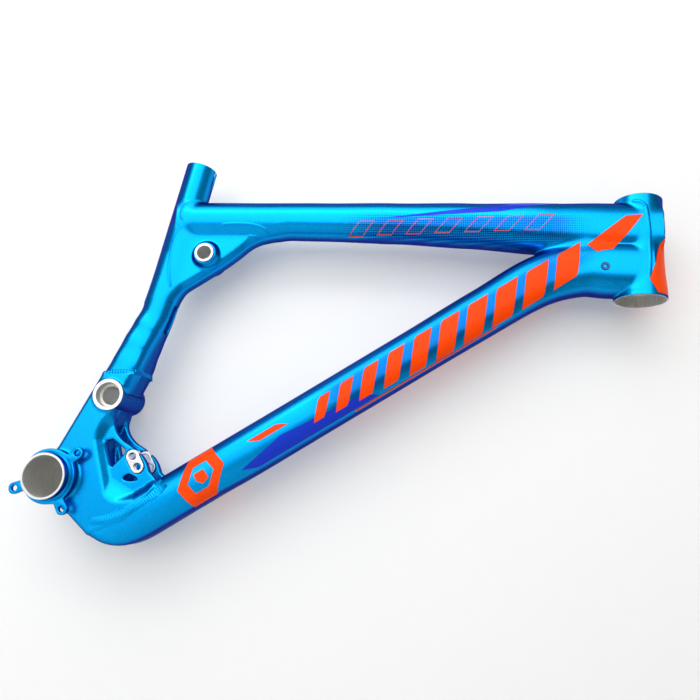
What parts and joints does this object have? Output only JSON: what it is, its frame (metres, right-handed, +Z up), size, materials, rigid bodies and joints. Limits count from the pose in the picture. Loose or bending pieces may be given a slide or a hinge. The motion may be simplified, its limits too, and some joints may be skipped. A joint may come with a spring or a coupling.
{
  "type": "bicycle frame",
  "caption": "Bare front triangle of a full-suspension mountain bike in cyan-blue paint, with tapered head tube, forged shock mount and pull-out shock chips.",
  "frame": {"origin": "middle of the bottom bracket axle line, with the frame upright as it is ridden", "axes": "+X forward, +Y to the rider's left along the bottom bracket axle line, +Z up"},
  "size_m": [0.544, 0.0914, 0.5866],
  "materials": {
    "frame_paint": "satin metallic cyan-blue with orange and royal-blue graphics",
    "boss_paint": "satin metallic blue",
    "weld_paint": "satin metallic cyan-blue over a rippled bead",
    "bare_aluminium": "machined",
    "dark_anodised": "dark blue anodised"
  },
  "bodies": {
    "frame": {"head_tube": "frame_paint", "top_tube": "frame_paint", "down_tube": "frame_paint", "seat_tube": "frame_paint", "seat_gusset": "frame_paint", "rocker_boss_right": "boss_paint", "rocker_boss_left": "boss_paint", "rocker_pivot_sleeve": "bare_aluminium", "bb_chassis": "frame_paint", "bb_shell": "bare_aluminium", "chain_guide_plate": "frame_paint", "main_pivot_barrel": "bare_aluminium", "cable_rivnut": "dark_anodised", "weld_seat_tube": "weld_paint", "weld_down_tube_right": "weld_paint", "weld_down_tube_left": "weld_paint", "weld_rocker_right": "weld_paint", "weld_rocker_left": "weld_paint", "weld_bb_right": "weld_paint", "weld_bb_left": "weld_paint"},
    "chip_right": {"flip_chip_right": "bare_aluminium"},
    "chip_left": {"flip_chip_left": "bare_aluminium"}
  },
  "joints": [
    {"name": "chip_right_slide", "type": "slide", "parent": "frame", "child": "chip_right", "axis": [0, -1, 0], "range_m": [0, 0.012]},
    {"name": "chip_left_slide", "type": "slide", "parent": "frame", "child": "chip_left", "axis": [0, 1, 0], "range_m": [0, 0.012]}
  ]
}
